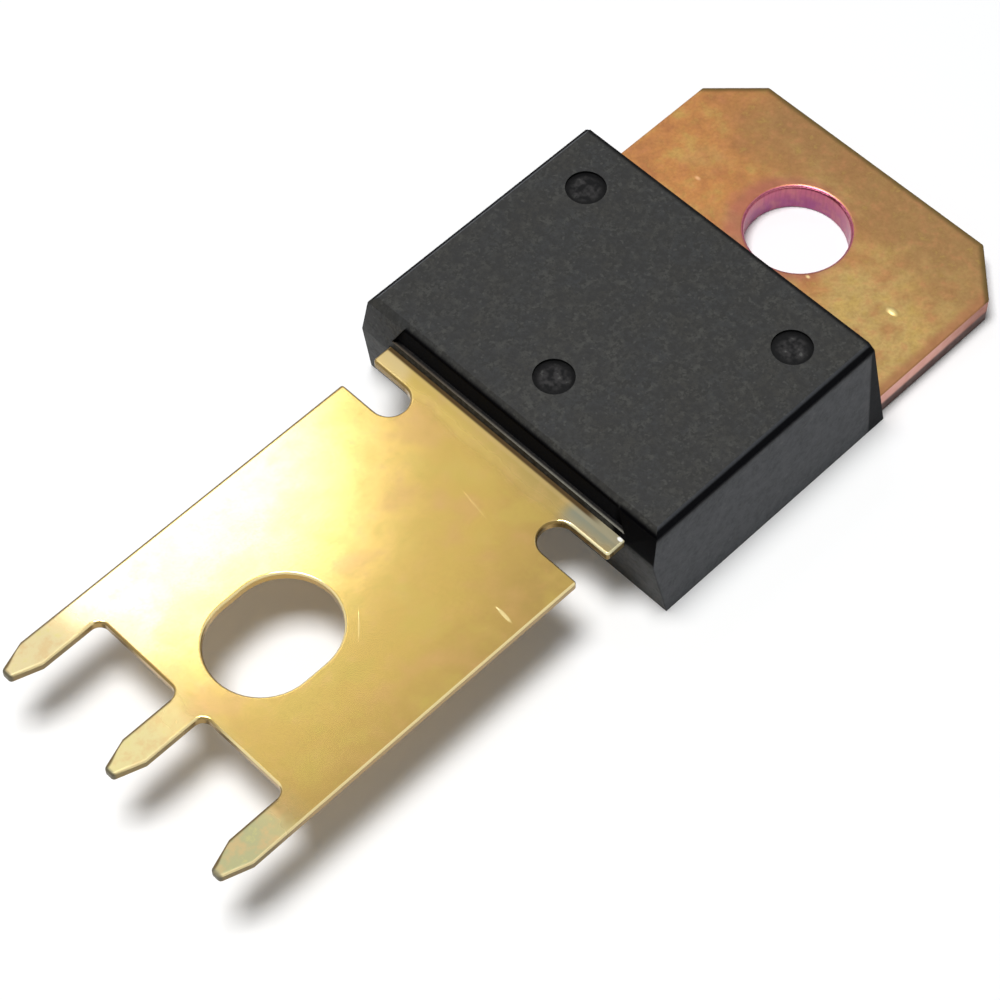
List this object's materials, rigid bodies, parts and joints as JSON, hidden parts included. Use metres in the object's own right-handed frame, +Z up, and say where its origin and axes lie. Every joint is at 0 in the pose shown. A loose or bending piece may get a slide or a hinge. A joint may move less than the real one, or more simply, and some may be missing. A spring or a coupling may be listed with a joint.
{
  "type": "rectifier diode",
  "caption": "Flat power rectifier diode: moulded black body on a copper base tab with a screw hole, and a wide blade lead with a slot and solder pins.",
  "frame": {"origin": "centre of the tab's screw hole on the seating face", "axes": "+X towards the tab's free end, away from the lead; +Y across the tab; +Z up from the seating face"},
  "size_m": [0.04, 0.0156, 0.005],
  "materials": {
    "moulding_compound": "fine matte grain, as moulded",
    "tab_copper": "rolled copper with a heat tint",
    "lead_copper": "bright golden plating",
    "silicon": "polished",
    "solder": "dull",
    "bond_wire": "drawn"
  },
  "bodies": {
    "root": {"moulded_body": "moulding_compound", "base_tab": "tab_copper", "anode_lead": "lead_copper", "silicon_die": "silicon", "die_solder": "solder", "bond_wire_1": "bond_wire", "bond_wire_2": "bond_wire", "bond_wire_3": "bond_wire", "bond_wire_4": "bond_wire", "bond_wire_5": "bond_wire"}
  },
  "joints": []
}
